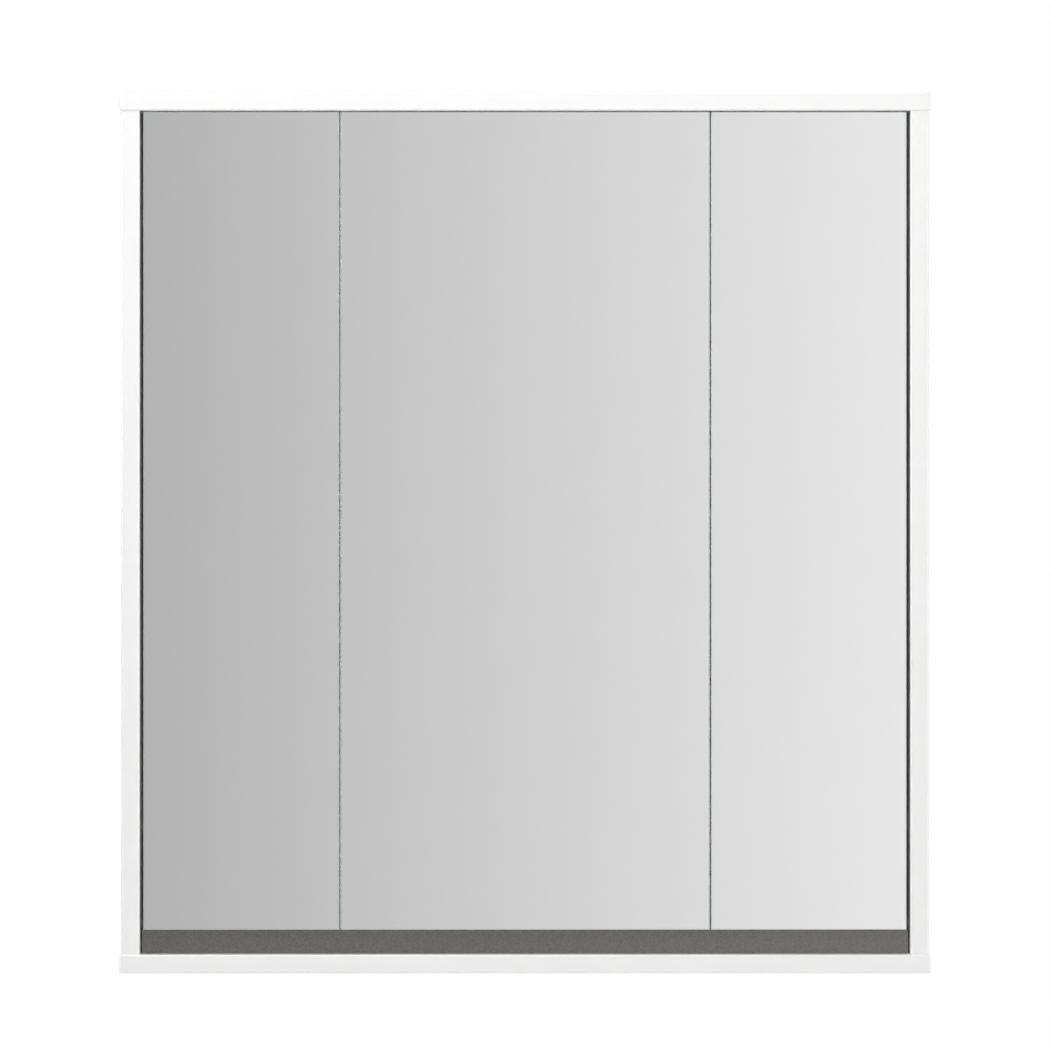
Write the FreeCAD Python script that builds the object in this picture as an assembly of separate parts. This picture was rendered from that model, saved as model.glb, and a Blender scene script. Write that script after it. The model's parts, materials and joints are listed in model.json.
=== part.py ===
import FreeCAD, Part
import os
from math import cos, radians, sin

# Three-door mirror cabinet for a bathroom wall, in millimetres.
# X runs to the right, Y towards the wall, Z up. The wall is the plane Y = 0.
# Heights are worked out from the cabinet's underside, and the finished pieces
# are lowered by hang_height, so that the origin lies between the wall screws.

V = FreeCAD.Vector
ACROSS = V(1, 0, 0)
INWARD = V(0, 1, 0)
UP = V(0, 0, 1)

# Overall sizes
cabinet_width = 700.0
cabinet_height = 760.0
cabinet_depth = 160.0

# Boards of the case
board = 16.0
band = 2.0
band_round = 1.8
divider_band_round = 0.8
end_overhang = 1.5
front_lip = 2.0
back_thickness = 3.0
back_recess = 12.0
groove_depth = 6.0
groove_clearance = 0.1

# Doors
mirror_thickness = 4.0
mirror_bevel = 0.8
door_board = 16.0
door_band = 0.8
door_band_round = 0.5
side_door_width = 169.0
door_setback = 3.0
side_gap = 3.0
hinged_seam_gap = 1.6
free_seam_gap = 1.0
head_gap = 0.6
foot_gap = 0.5
divider_gap = 2.0
bumper_radius = 3.0
bumper_inset = 3.4
bumper_air = 0.2
bumper_end_offset = 40.0
bumper_crown = 0.9

# Grey strip under the doors
strip_height = 20.5
strip_round = 0.6
strip_end_gap = 1.5
strip_dowel_inset = 80.0

# Shelves and their pins
shelf_thickness = 5.0
shelf_setback = 36.0
shelf_side_gap = 1.0
shelf_back_gap = 0.3
shelf_bevel = 0.5
pin_radius = 2.5
pin_fit = 0.05
pin_depth = 7.0
pin_reach = 7.0
pin_collar_radius = 4.0
pin_collar = 1.2
pin_pitch = 32.0
pin_spare_holes = 1
pin_front_inset = 20.0
pin_rear_inset = 20.0

# Cam fittings and dowels in the board joints
cam_radius = 7.5
cam_depth = 12.5
cam_inset = 24.0
cam_fit = 0.1
cam_slot_width = 1.6
cam_slot_depth = 3.0
cap_radius = 8.5
cap_thickness = 0.8
cap_ease = 0.5
bolt_radius = 3.4
bolt_bore_radius = 4.0
bolt_root_radius = 2.5
bolt_root_length = 11.0
bolt_root_fit = 0.05
bolt_head_radius = 3.6
bolt_head_length = 3.0
dowel_radius = 4.0
dowel_length = 30.0
dowel_end_air = 0.5
dowel_cover = 4.0
dowel_ease = 0.8
fitting_front_inset = 21.0
fitting_rear_inset = 53.0

# Cup hinges, measured from the door's hinge edge (u) and from the mirror face (v)
hinge_end_offset = 90.0
pivot_u = 24.0
pivot_v = 9.0
hinge_pin_radius = 1.1
hinge_pin_fit = 0.07
eye_radius = 2.2
cup_radius = 17.5
cup_fit = 0.05
cup_depth = 14.2
cup_wall = 0.8
cup_floor_round = 1.0
cup_edge = 5.0
flange_thickness = 1.2
flange_rim = 2.0
flange_screw_span = 48.0
flange_screw_offset = 6.0
flange_ear_radius = 6.5
cup_screw_radius = 1.75
cup_screw_fit = 0.1
cup_screw_head_radius = 3.6
cup_screw_head = 1.5
cup_screw_length = 10.0
neck_radius = 28.2
neck_thickness = 2.0
neck_start_angle = 46.0
neck_end_angle = 127.0
arm_width = 10.0
arm_base_u = 2.5
arm_rise = 5.5
arm_front_v = 31.5
arm_rear_v = 78.0
arm_rear_round = 4.0
arm_skin = 1.3
plate_front_v = 33.0
plate_rear_v = 74.0
plate_width = 14.0
plate_fit = 0.2
wing_thickness = 2.0
wing_length = 14.0
wing_span = 46.0
wing_round = 4.5
wing_screw_span = 32.0
divider_plate_height = 3.0
plate_screw_radius = 2.5
plate_screw_fit = 0.05
plate_screw_length = 11.0
plate_screw_head_radius = 4.2
plate_screw_head = 1.8
arm_screw_radius = 2.0
arm_screw_fit = 0.1
arm_screw_head_radius = 3.4
arm_screw_head = 1.6
arm_screw_inset = 11.0
screw_tip = 1.0

# Cabinet hangers in the upper rear corners, and the plates on the wall
hanger_width = 18.0
hanger_depth = 38.0
hanger_height = 60.0
hanger_drop = 12.0
hanger_round = 3.0
hanger_peg_radius = 5.0
hanger_peg_length = 11.0
hanger_peg_fit = 0.05
hanger_peg_span = 32.0
hanger_rib = 2.0
hanger_pocket = 3.0
hook_thickness = 3.0
hook_bar = 8.0
hook_drop = 26.0
hook_inside = 25.0
hook_nose = 2.5
hook_nose_length = 12.0
hook_wall_air = 2.5
hook_fit = 0.2
hook_window = 2.0
hook_round = 3.0
hook_lead = 1.2
hanger_screw_radius = 2.0
hanger_screw_fit = 0.05
hanger_screw_length = 9.0
hanger_screw_head_radius = 3.5
hanger_screw_head = 1.5
hanger_screw_span = 30.0
wall_plate_width = 40.0
wall_plate_thickness = 2.0
wall_plate_side_gap = 1.0
wall_plate_lip_air = 0.5
wall_plate_web_air = 2.0
wall_plate_tail = 45.0
wall_plate_round = 4.0
wall_hole_radius = 2.75
wall_hole_first = 12.0
wall_hole_pitch = 24.0
slot_depth = 1.0
slot_width = 1.0
slot_share = 1.2

# Lengths closer than this count as the same
same_length = 1e-6

# Derived places across the width
half_width = cabinet_width / 2
side_out_x = half_width - end_overhang
side_in_x = side_out_x - board
left_edge_x = -side_in_x + side_gap
centre_edge_x = left_edge_x + side_door_width + hinged_seam_gap
right_door_free_x = -left_edge_x - side_door_width
centre_door_width = right_door_free_x - free_seam_gap - centre_edge_x
left_divider_in_x = centre_edge_x + arm_base_u - divider_plate_height
left_divider_out_x = left_divider_in_x - board
right_seam_x = right_door_free_x - free_seam_gap / 2
right_divider_in_x = right_seam_x - board / 2
right_divider_out_x = right_divider_in_x + board
strip_end_x = side_in_x - strip_end_gap
strip_dowel_x = strip_end_x - strip_dowel_inset

# Derived places from front to back
case_front_y = -cabinet_depth
side_front_y = case_front_y + front_lip
door_front_y = side_front_y + door_setback
door_thickness = mirror_thickness + door_board
door_back_y = door_front_y + door_thickness
divider_front_y = door_back_y + divider_gap
back_rear_y = -back_recess
back_front_y = back_rear_y - back_thickness
shelf_front_y = door_front_y + shelf_setback
shelf_rear_y = back_front_y - shelf_back_gap
strip_rear_y = divider_front_y
strip_front_y = strip_rear_y - board
fitting_front_y = divider_front_y + fitting_front_inset
fitting_rear_y = back_front_y - fitting_rear_inset
dowel_y = (fitting_front_y + fitting_rear_y) / 2
strip_dowel_y = (strip_front_y + strip_rear_y) / 2

# Derived heights above the underside
floor_z = board
ceiling_z = cabinet_height - board
door_foot_z = floor_z + strip_height + foot_gap
door_head_z = ceiling_z - head_gap
hinge_heights = (door_foot_z + hinge_end_offset, door_head_z - hinge_end_offset)
shelf_levels = ("lower", "upper")
shelf_pitch = (ceiling_z - floor_z) / (len(shelf_levels) + 1)
shelf_heights = [floor_z + shelf_pitch * (n + 1) for n in range(len(shelf_levels))]
hook_top_z = ceiling_z - hook_drop
lip_top_z = hook_top_z - hook_bar
web_top_z = lip_top_z - hook_nose_length - wall_plate_web_air
plate_tail_z = web_top_z - wall_plate_tail
upper_hole_z = web_top_z - wall_hole_first
hang_height = upper_hole_z - wall_hole_pitch / 2
pin_columns_y = (shelf_front_y + pin_front_inset, shelf_rear_y - pin_rear_inset)
hanger_top_z = ceiling_z - hanger_drop
hanger_mid_z = hanger_top_z - hanger_height / 2
hanger_peg_y = back_front_y - hanger_depth / 2
hanger_peg_heights = (hanger_mid_z - hanger_peg_span / 2, hanger_mid_z + hanger_peg_span / 2)

# Derived places in a hinge
cup_centre_u = cup_edge + cup_radius
ear_u = cup_centre_u + flange_screw_offset
plate_middle_v = (plate_front_v + plate_rear_v) / 2
arm_top_u = arm_base_u + arm_rise
arm_screw_places = (plate_front_v + arm_screw_inset, plate_rear_v - arm_screw_inset)

# Compartments, each with the two faces that carry its shelves
compartments = {
    "left": (-side_in_x, left_divider_out_x),
    "centre": (left_divider_in_x, right_divider_in_x),
    "right": (right_divider_out_x, side_in_x),
}


def block(x0, x1, y0, y1, z0, z1):
    """A box between two corners, given in either order."""
    low = V(min(x0, x1), min(y0, y1), min(z0, z1))
    return Part.makeBox(abs(x1 - x0), abs(y1 - y0), abs(z1 - z0), low)


def rod(radius, start, direction, length):
    """A round bar from a start point along a direction."""
    return Part.makeCylinder(radius, length, V(*start), V(*direction))


def ridges(shape, test):
    """The edges of a shape whose two ends both pass a test."""
    return [e for e in shape.Edges if all(test(v.Point) for v in e.Vertexes)]


def near(a, b):
    """Whether two lengths are the same."""
    return abs(a - b) < same_length


def running(edges, direction):
    """Those of some straight edges that run along a direction."""
    spans = [(e, e.Vertexes[-1].Point - e.Vertexes[0].Point) for e in edges]
    return [e for e, span in spans if near(span.cross(direction).Length, 0)]


def mirrored(shape):
    """The same piece for the other side of the cabinet."""
    return shape.mirror(V(0, 0, 0), V(1, 0, 0))


# Screws

def screw(seat, inward, radius, length, head_radius, head_height):
    """A screw with a tapered tip and a rounded head, whose underside lies on its seat."""
    tip = seat + inward * length
    crown = seat - inward * head_height
    shank = rod(radius, seat, inward, length)
    shank = shank.makeChamfer(screw_tip, ridges(shank, lambda p: near((p - tip).dot(inward), 0)))
    head = rod(head_radius, seat, -inward, head_height)
    head = head.makeFillet(head_height / 2, ridges(head, lambda p: near((p - crown).dot(inward), 0)))
    return shank.fuse(head).removeSplitter().cut(cross_slot(crown, inward, head_radius))


def cross_slot(top, inward, radius):
    """The cross that a driver fits: two bars sunk from the top of a screw head."""
    long_half = radius * slot_share / 2
    short_half = slot_width / 2
    foot = top + inward * slot_depth
    bars = []
    for level, upright in ((long_half, short_half), (short_half, long_half)):
        across = V(0, level, upright) if inward.x else V(level, 0, upright)
        a = top - across
        b = foot + across
        bars.append(block(a.x, b.x, a.y, b.y, a.z, b.z))
    return bars


# Board joints

def joint_boards():
    """Each upright board: the X of its middle, and the X and direction of its cam face."""
    return (
        (-side_in_x - board / 2, -side_in_x, 1),
        (left_divider_out_x + board / 2, left_divider_out_x, -1),
        (right_divider_in_x + board / 2, right_divider_out_x, 1),
        (side_in_x + board / 2, side_in_x, -1),
    )


def joint_fittings():
    """Bores, cams, caps, bolts and dowels of all joints with the top and bottom boards."""
    fittings = {"bores": [], "cams": [], "caps": [], "bolts": [], "dowels": []}
    for middle_x, face_x, outward in joint_boards():
        for end_z, into in ((floor_z, 1), (ceiling_z, -1)):
            for y in (fitting_front_y, fitting_rear_y):
                add_cam_joint(fittings, middle_x, face_x, outward, y, end_z, into)
            add_dowel(fittings, middle_x, dowel_y, end_z, into)
    for x in (-strip_dowel_x, 0, strip_dowel_x):
        add_dowel(fittings, x, strip_dowel_y, floor_z, 1)
    return fittings


def add_cam_joint(fittings, middle_x, face_x, outward, y, end_z, into):
    """One cam in the upright board, gripping a bolt that is screwed into the level board."""
    cam_z = end_z + into * cam_inset
    bore = rod(cam_radius, (face_x, y, cam_z), (-outward, 0, 0), cam_depth)
    bolt_way = rod(bolt_bore_radius, (middle_x, y, end_z), (0, 0, into), cam_inset)
    root_way_radius = bolt_root_radius + bolt_root_fit
    root_way = rod(root_way_radius, (middle_x, y, end_z), (0, 0, -into), bolt_root_length + bolt_root_fit)
    fittings["bores"] += [bore, bolt_way, root_way]

    cam = rod(cam_radius - cam_fit, (face_x, y, cam_z), (-outward, 0, 0), cam_depth - cam_fit)
    throat = rod(bolt_bore_radius, (middle_x, y, end_z), (0, 0, into), cam_inset + bolt_head_radius)
    half_slot = cam_slot_width / 2
    slot_end_x = face_x - outward * cam_slot_depth
    slot = block(face_x, slot_end_x, y - cam_radius, y + cam_radius, cam_z - half_slot, cam_z + half_slot)
    fittings["cams"].append(cam.cut([throat, slot]))

    cap = rod(cap_radius, (face_x, y, cam_z), (outward, 0, 0), cap_thickness)
    cap_top_x = face_x + outward * cap_thickness
    fittings["caps"].append(cap.makeChamfer(cap_ease, ridges(cap, lambda p: near(p.x, cap_top_x))))

    shank_length = cam_inset - bolt_head_length
    shank = rod(bolt_radius, (middle_x, y, end_z), (0, 0, into), shank_length)
    root = rod(bolt_root_radius, (middle_x, y, end_z), (0, 0, -into), bolt_root_length)
    head_start = (middle_x, y, end_z + into * shank_length)
    head = rod(bolt_head_radius, head_start, (0, 0, into), bolt_head_length)
    fittings["bolts"].append(shank.fuse([root, head]).removeSplitter())


def add_dowel(fittings, x, y, end_z, into):
    """One beech dowel, its short end in the level board and its long end in the upright one."""
    short_end = board - dowel_cover
    dowel = rod(dowel_radius, (x, y, end_z - into * short_end), (0, 0, into), dowel_length)
    fittings["dowels"].append(dowel.makeChamfer(dowel_ease, [e for e in dowel.Edges if e.isClosed()]))
    way_start = (x, y, end_z - into * (short_end + dowel_end_air))
    fittings["bores"].append(rod(dowel_radius, way_start, (0, 0, into), dowel_length + 2 * dowel_end_air))


# Case boards

def back_panel_block(clearance):
    """The back panel's sheet, or with a clearance the groove that takes it."""
    reach = groove_depth - groove_clearance + clearance
    return block(
        -side_in_x - reach, side_in_x + reach,
        back_front_y - clearance, back_rear_y + clearance,
        floor_z - reach, ceiling_z + reach,
    )


def level_board(z0):
    """A top or bottom board without its edge bands."""
    end_x = half_width - band
    return block(-end_x, end_x, case_front_y + band, 0, z0, z0 + board)


def level_bands(z0):
    """The front band and the two end bands of a top or bottom board, with eased outer edges."""
    front = block(-half_width, half_width, case_front_y, case_front_y + band, z0, z0 + board)
    around_front = ridges(front, lambda p: near(p.y, case_front_y))
    bands = [front.makeFillet(band_round, around_front + running(front.Edges, INWARD))]
    for side in (-1, 1):
        outer_x = side * half_width
        end = block(outer_x, side * (half_width - band), case_front_y + band, 0, z0, z0 + board)
        outer_edges = ridges(end, lambda p: near(p.x, outer_x))
        bands.append(end.makeFillet(band_round, running(outer_edges, INWARD)))
    return Part.makeCompound(bands)


def shelf_pin_sets():
    """For every shelf: its name, its height and the two faces that carry it."""
    for name, (x0, x1) in compartments.items():
        for level, z in zip(shelf_levels, shelf_heights):
            yield f"{name}_{level}_shelf", z, x0, x1


def shelf_pin_holes():
    """Rows of blind holes around every shelf height, on both faces of every compartment."""
    holes = []
    for _, z, x0, x1 in shelf_pin_sets():
        rows = [z - pin_radius + pin_pitch * n for n in range(-pin_spare_holes, pin_spare_holes + 1)]
        for hole_z in rows:
            for y in pin_columns_y:
                holes.append(rod(pin_radius, (x0, y, hole_z), (-1, 0, 0), pin_depth))
                holes.append(rod(pin_radius, (x1, y, hole_z), (1, 0, 0), pin_depth))
    return holes


def hinge_screw_holes():
    """Pilot holes for the screws of every hinge plate."""
    radius = plate_screw_radius + plate_screw_fit
    holes = []
    for face_x, direction in ((-side_in_x, -1), (left_divider_in_x, -1), (side_in_x, 1)):
        for hinge_z in hinge_heights:
            for end in (-1, 1):
                start = (face_x, door_front_y + plate_middle_v, hinge_z + end * wing_screw_span / 2)
                holes.append(rod(radius, start, (direction, 0, 0), plate_screw_length))
    return holes


def hanger_peg_holes():
    """Blind holes in the side boards for the pegs of the hanger bodies."""
    radius = hanger_peg_radius + hanger_peg_fit
    return [
        rod(radius, (side * side_in_x, hanger_peg_y, z), (side, 0, 0), hanger_peg_length + hanger_peg_fit)
        for side in (-1, 1) for z in hanger_peg_heights
    ]


def case_boards(bores):
    """The boards of the case, with grooves and every bore cut."""
    groove = back_panel_block(groove_clearance)
    holes = bores + shelf_pin_holes() + hinge_screw_holes() + hanger_peg_holes()
    left_side = block(-side_out_x, -side_in_x, side_front_y + band, 0, floor_z, ceiling_z)
    right_side = block(side_in_x, side_out_x, side_front_y + band, 0, floor_z, ceiling_z)
    left_divider = block(
        left_divider_out_x, left_divider_in_x, divider_front_y + band, back_front_y, floor_z, ceiling_z
    )
    right_divider = block(
        right_divider_in_x, right_divider_out_x, divider_front_y + band, back_front_y, floor_z, ceiling_z
    )
    return {
        "top_panel": level_board(ceiling_z).cut([groove] + bores),
        "bottom_panel": level_board(0).cut([groove] + bores),
        "left_side_panel": left_side.cut([groove] + holes),
        "right_side_panel": right_side.cut([groove] + holes),
        "left_divider": left_divider.cut(holes),
        "right_divider": right_divider.cut(holes),
    }


def edge_bands():
    """Edge bands of every board that shows a cut edge at the front."""
    bands = {
        "top_panel_edging": level_bands(ceiling_z),
        "bottom_panel_edging": level_bands(0),
    }
    uprights = {
        "left_side_edging": (-side_out_x, -side_in_x, side_front_y, band_round),
        "right_side_edging": (side_in_x, side_out_x, side_front_y, band_round),
        "left_divider_edging": (
            left_divider_out_x, left_divider_in_x, divider_front_y, divider_band_round
        ),
        "right_divider_edging": (
            right_divider_in_x, right_divider_out_x, divider_front_y, divider_band_round
        ),
    }
    for name, (x0, x1, front_y, rounding) in uprights.items():
        strip = block(x0, x1, front_y, front_y + band, floor_z, ceiling_z)
        front_edges = ridges(strip, lambda p: near(p.y, front_y))
        bands[name] = strip.makeFillet(rounding, running(front_edges, UP))
    return bands


def back_panel():
    """Thin back sheet in the grooves, with a window for each hanger hook."""
    sheet = back_panel_block(0)
    windows = []
    for side in (-1, 1):
        x0, x1 = hook_span(side)
        windows.append(block(
            x0 - hook_window, x1 + hook_window, back_front_y, back_rear_y,
            lip_top_z - hook_window, hook_top_z + hook_window,
        ))
    return sheet.cut(windows)


def grip_strip(bores):
    """The grey strip that stands on the bottom board, under and a little behind the doors."""
    top_z = floor_z + strip_height
    strip = block(-strip_end_x, strip_end_x, strip_front_y, strip_rear_y, floor_z, top_z)
    front_top = ridges(strip, lambda p: near(p.y, strip_front_y) and near(p.z, top_z))
    return strip.makeFillet(strip_round, front_top).cut(bores)


# Shelves

def shelf(x0, x1, z):
    """A glass shelf with ground edges."""
    plate = block(
        x0 + shelf_side_gap, x1 - shelf_side_gap, shelf_front_y, shelf_rear_y, z, z + shelf_thickness
    )
    front_edges = ridges(plate, lambda p: near(p.y, shelf_front_y))
    return plate.makeChamfer(shelf_bevel, running(front_edges, ACROSS))


def shelf_pin(face_x, inward, y, z):
    """One pin: shank in the board, collar on its face, peg under the shelf."""
    shank = rod(pin_radius - pin_fit, (face_x, y, z), (-inward, 0, 0), pin_depth - pin_fit)
    collar = rod(pin_collar_radius, (face_x, y, z), (inward, 0, 0), pin_collar)
    peg = rod(pin_radius, (face_x, y, z), (inward, 0, 0), pin_reach)
    head_room = block(
        face_x - pin_reach, face_x + pin_reach, y - pin_collar_radius, y + pin_collar_radius,
        z + pin_radius, z + pin_collar_radius,
    )
    return shank.fuse([collar.cut(head_room), peg]).removeSplitter()


def shelves_and_pins():
    """All shelves, each with two pins under both of its ends."""
    pieces = {}
    pins = []
    for name, z, x0, x1 in shelf_pin_sets():
        pieces[name] = shelf(x0, x1, z)
        for y in pin_columns_y:
            pins.append(shelf_pin(x0, 1, y, z - pin_radius))
            pins.append(shelf_pin(x1, -1, y, z - pin_radius))
    pieces["shelf_pins"] = Part.makeCompound(pins)
    return pieces


# Hinges, in the door's own u, v and hinge height

def on_neck(radius, angle):
    """A point around the pivot; angle 0 points into the door, 90 into the cabinet."""
    return V(pivot_u + radius * cos(radians(angle)), pivot_v + radius * sin(radians(angle)), 0)


def swept_up(face, width):
    """A flat face in u and v, thickened evenly above and below the hinge height."""
    face.translate(V(0, 0, -width / 2))
    return face.extrude(V(0, 0, width))


def neck_bow(inner, outer, start_angle, end_angle):
    """A flat ring sector around the pivot."""
    middle = (start_angle + end_angle) / 2
    edges = [
        Part.LineSegment(on_neck(inner, start_angle), on_neck(outer, start_angle)).toShape(),
        Part.Arc(on_neck(outer, start_angle), on_neck(outer, middle), on_neck(outer, end_angle)).toShape(),
        Part.LineSegment(on_neck(outer, end_angle), on_neck(inner, end_angle)).toShape(),
        Part.Arc(on_neck(inner, end_angle), on_neck(inner, middle), on_neck(inner, start_angle)).toShape(),
    ]
    return Part.Face(Part.Wire(edges))


def neck_leg():
    """The straight leg of the swan neck, from the eye out to the bow."""
    along = on_neck(1, neck_start_angle) - on_neck(0, 0)
    across = V(-along.y, along.x, 0) * (neck_thickness / 2)
    tip = on_neck(neck_radius + neck_thickness / 2, neck_start_angle)
    root = on_neck(0, 0)
    corners = [root - across, tip - across, tip + across, root + across, root - across]
    return Part.Face(Part.makePolygon(corners))


def hinge_arm():
    """Swan-neck arm: slotted channel over the plate, bow around the door's corner, eye on the pin."""
    inner = neck_radius - neck_thickness / 2
    outer = neck_radius + neck_thickness / 2
    bow = swept_up(neck_bow(inner, outer, neck_start_angle, neck_end_angle), arm_width)
    leg = swept_up(neck_leg(), arm_width)
    eye = rod(eye_radius, (pivot_u, pivot_v, -arm_width / 2), (0, 0, 1), arm_width)
    half = arm_width / 2
    base = block(arm_base_u, arm_top_u, arm_front_v, arm_rear_v, -half, half)
    rear_top = ridges(base, lambda p: near(p.y, arm_rear_v) and near(p.x, arm_top_u))
    base = base.makeFillet(arm_rear_round, rear_top)
    channel_half = half - arm_skin
    channel = block(
        arm_base_u, arm_top_u - arm_skin, plate_front_v - plate_fit, arm_rear_v,
        -channel_half, channel_half,
    )
    bore = rod(hinge_pin_radius + hinge_pin_fit, (pivot_u, pivot_v, -half), (0, 0, 1), arm_width)
    way_radius = arm_screw_radius + arm_screw_fit
    screw_ways = [rod(way_radius, (arm_base_u, v, 0), (1, 0, 0), arm_rise) for v in arm_screw_places]
    rear_slot = block(arm_base_u, arm_top_u, arm_screw_places[-1], arm_rear_v, -way_radius, way_radius)
    return bow.fuse([leg, eye, base]).removeSplitter().cut([channel, bore, rear_slot] + screw_ways)


def hinge_plate(face_u):
    """Mounting plate: wings screwed to the board, foot under the arm, rail inside its channel."""
    half = plate_width / 2
    foot = block(face_u, arm_base_u, plate_front_v, plate_rear_v, -half, half)
    wings = block(
        face_u, face_u + wing_thickness, plate_middle_v - wing_length / 2, plate_middle_v + wing_length / 2,
        -wing_span / 2, wing_span / 2,
    )
    wings = wings.makeFillet(wing_round, running(wings.Edges, ACROSS))
    rail_half = arm_width / 2 - arm_skin - plate_fit
    rail_top_u = arm_top_u - arm_skin - plate_fit
    rail = block(arm_base_u, rail_top_u, plate_front_v, plate_rear_v, -rail_half, rail_half)
    way_radius = plate_screw_radius + plate_screw_fit
    ways = [
        rod(way_radius, (face_u, plate_middle_v, end * wing_screw_span / 2), (1, 0, 0), wing_thickness)
        for end in (-1, 1)
    ]
    ways += [rod(arm_screw_radius, (face_u, v, 0), (1, 0, 0), arm_top_u - face_u) for v in arm_screw_places]
    return foot.fuse([wings, rail]).removeSplitter().cut(ways)


def plate_screws(face_u):
    """The two screws that hold a hinge plate to its board."""
    seat_u = face_u + wing_thickness
    length = plate_screw_length + wing_thickness - plate_screw_fit
    seats = [V(seat_u, plate_middle_v, end * wing_screw_span / 2) for end in (-1, 1)]
    return [
        screw(seat, -ACROSS, plate_screw_radius, length, plate_screw_head_radius, plate_screw_head)
        for seat in seats
    ]


def arm_screws():
    """Clamping and adjusting screws of one hinge arm."""
    seats = [V(arm_top_u, v, 0) for v in arm_screw_places]
    return [
        screw(seat, -ACROSS, arm_screw_radius, arm_rise, arm_screw_head_radius, arm_screw_head)
        for seat in seats
    ]


def hinge_cup():
    """Pressed cup with its flange, pin holes and the mouth that the arm swings in."""
    back_v = door_thickness
    shell_radius = cup_radius - cup_fit
    floor_v = back_v - cup_depth + cup_fit
    shell = rod(shell_radius, (cup_centre_u, floor_v, 0), (0, 1, 0), back_v - floor_v)
    shell = shell.makeFillet(cup_floor_round, ridges(shell, lambda p: near(p.y, floor_v)))
    flange = rod(cup_radius + flange_rim, (cup_centre_u, back_v, 0), (0, 1, 0), flange_thickness)
    half_span = flange_screw_span / 2
    flange_top = back_v + flange_thickness
    bar = block(
        ear_u - flange_ear_radius, ear_u + flange_ear_radius, back_v, flange_top, -half_span, half_span
    )
    ears = [
        rod(flange_ear_radius, (ear_u, back_v, end * half_span), (0, 1, 0), flange_thickness)
        for end in (-1, 1)
    ]
    hollow_radius = shell_radius - cup_wall
    hollow_start = (cup_centre_u, floor_v + cup_wall, 0)
    hollow = rod(hollow_radius, hollow_start, (0, 1, 0), cup_depth + flange_thickness)
    ways = [
        rod(cup_screw_radius + cup_screw_fit, (ear_u, back_v, end * half_span), (0, 1, 0), flange_thickness)
        for end in (-1, 1)
    ]
    cup = shell.fuse([flange, bar] + ears).removeSplitter()
    return cup.cut([hollow, hinge_pin()] + ways)


def hinge_pin():
    """The pin that the arm's eye turns on, held by the cup's wall at both ends."""
    offset = cup_centre_u - pivot_u
    wall_middle = cup_radius - cup_fit - cup_wall / 2
    half = (wall_middle ** 2 - offset ** 2) ** 0.5
    return rod(hinge_pin_radius, (pivot_u, pivot_v, -half), (0, 0, 1), 2 * half)


def cup_screws():
    """The two screws that hold a cup's flange to the door board."""
    seats = [V(ear_u, door_thickness + flange_thickness, end * flange_screw_span / 2) for end in (-1, 1)]
    return [
        screw(seat, -INWARD, cup_screw_radius, cup_screw_length, cup_screw_head_radius, cup_screw_head)
        for seat in seats
    ]


def cup_bores():
    """What is bored into the door board for one hinge: the cup and its two screws."""
    bores = [rod(cup_radius, (cup_centre_u, door_thickness - cup_depth, 0), (0, 1, 0), cup_depth)]
    for end in (-1, 1):
        start = (ear_u, door_thickness, end * flange_screw_span / 2)
        bores.append(rod(cup_screw_radius + cup_screw_fit, start, (0, -1, 0), cup_screw_length))
    return bores


# Doors

def door_pieces(width):
    """Mirror, board, edge band and bumpers of a door in its own u and v, at full height."""
    mirror = block(0, width, 0, mirror_thickness, door_foot_z, door_head_z)
    mirror = mirror.makeChamfer(mirror_bevel, ridges(mirror, lambda p: near(p.y, 0)))
    outer = block(0, width, mirror_thickness, door_thickness, door_foot_z, door_head_z)
    outer = outer.makeFillet(door_band_round, ridges(outer, lambda p: near(p.y, door_thickness)))
    panel = block(
        door_band, width - door_band, mirror_thickness, door_thickness,
        door_foot_z + door_band, door_head_z - door_band,
    )
    edging = outer.cut(panel)
    bumpers = []
    for z in (door_foot_z + bumper_end_offset, door_head_z - bumper_end_offset):
        start = (width - bumper_inset, door_thickness, z)
        top_v = door_thickness + divider_gap - bumper_air
        bumper = rod(bumper_radius, start, (0, 1, 0), divider_gap - bumper_air)
        bumpers.append(bumper.makeFillet(bumper_crown, ridges(bumper, lambda p: near(p.y, top_v))))
    return mirror, panel, edging, bumpers


def lifted(shapes, z):
    """Copies of shapes moved up to a hinge height."""
    copies = []
    for shape in shapes:
        copy = shape.copy()
        copy.translate(V(0, 0, z))
        copies.append(copy)
    return copies


def at_hinges(shapes):
    """Copies of a hinge's shapes at every hinge height."""
    return [copy for z in hinge_heights for copy in lifted(shapes, z)]


def placed(shapes, edge_x, right_hand):
    """Pieces of a door moved from its own u and v to its place in the case."""
    result = []
    for shape in shapes:
        copy = mirrored(shape) if right_hand else shape.copy()
        copy.translate(V(-edge_x if right_hand else edge_x, door_front_y, 0))
        result.append(copy)
    return result


def door_set(name, width, edge_x, face_u, right_hand):
    """All pieces of one door and of its hinges, ready in the case."""
    mirror, panel, edging, bumpers = door_pieces(width)
    panel = panel.cut(at_hinges(cup_bores()))
    sets = {
        f"{name}_mirror": [mirror],
        f"{name}_door_panel": [panel],
        f"{name}_door_edging": [edging],
        f"{name}_door_bumpers": bumpers,
        f"{name}_hinge_cups": at_hinges([hinge_cup()]),
        f"{name}_hinge_pins": at_hinges([hinge_pin()]),
        f"{name}_cup_screws": at_hinges(cup_screws()),
        f"{name}_hinge_arms": at_hinges([hinge_arm()]),
        f"{name}_hinge_plates": at_hinges([hinge_plate(face_u)]),
        f"{name}_hinge_screws": at_hinges(plate_screws(face_u) + arm_screws()),
    }
    return {key: gathered(placed(shapes, edge_x, right_hand)) for key, shapes in sets.items()}


def gathered(shapes):
    """One solid as it is, or several as a group."""
    return shapes[0] if len(shapes) == 1 else Part.makeCompound(shapes)


# Hangers

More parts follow.
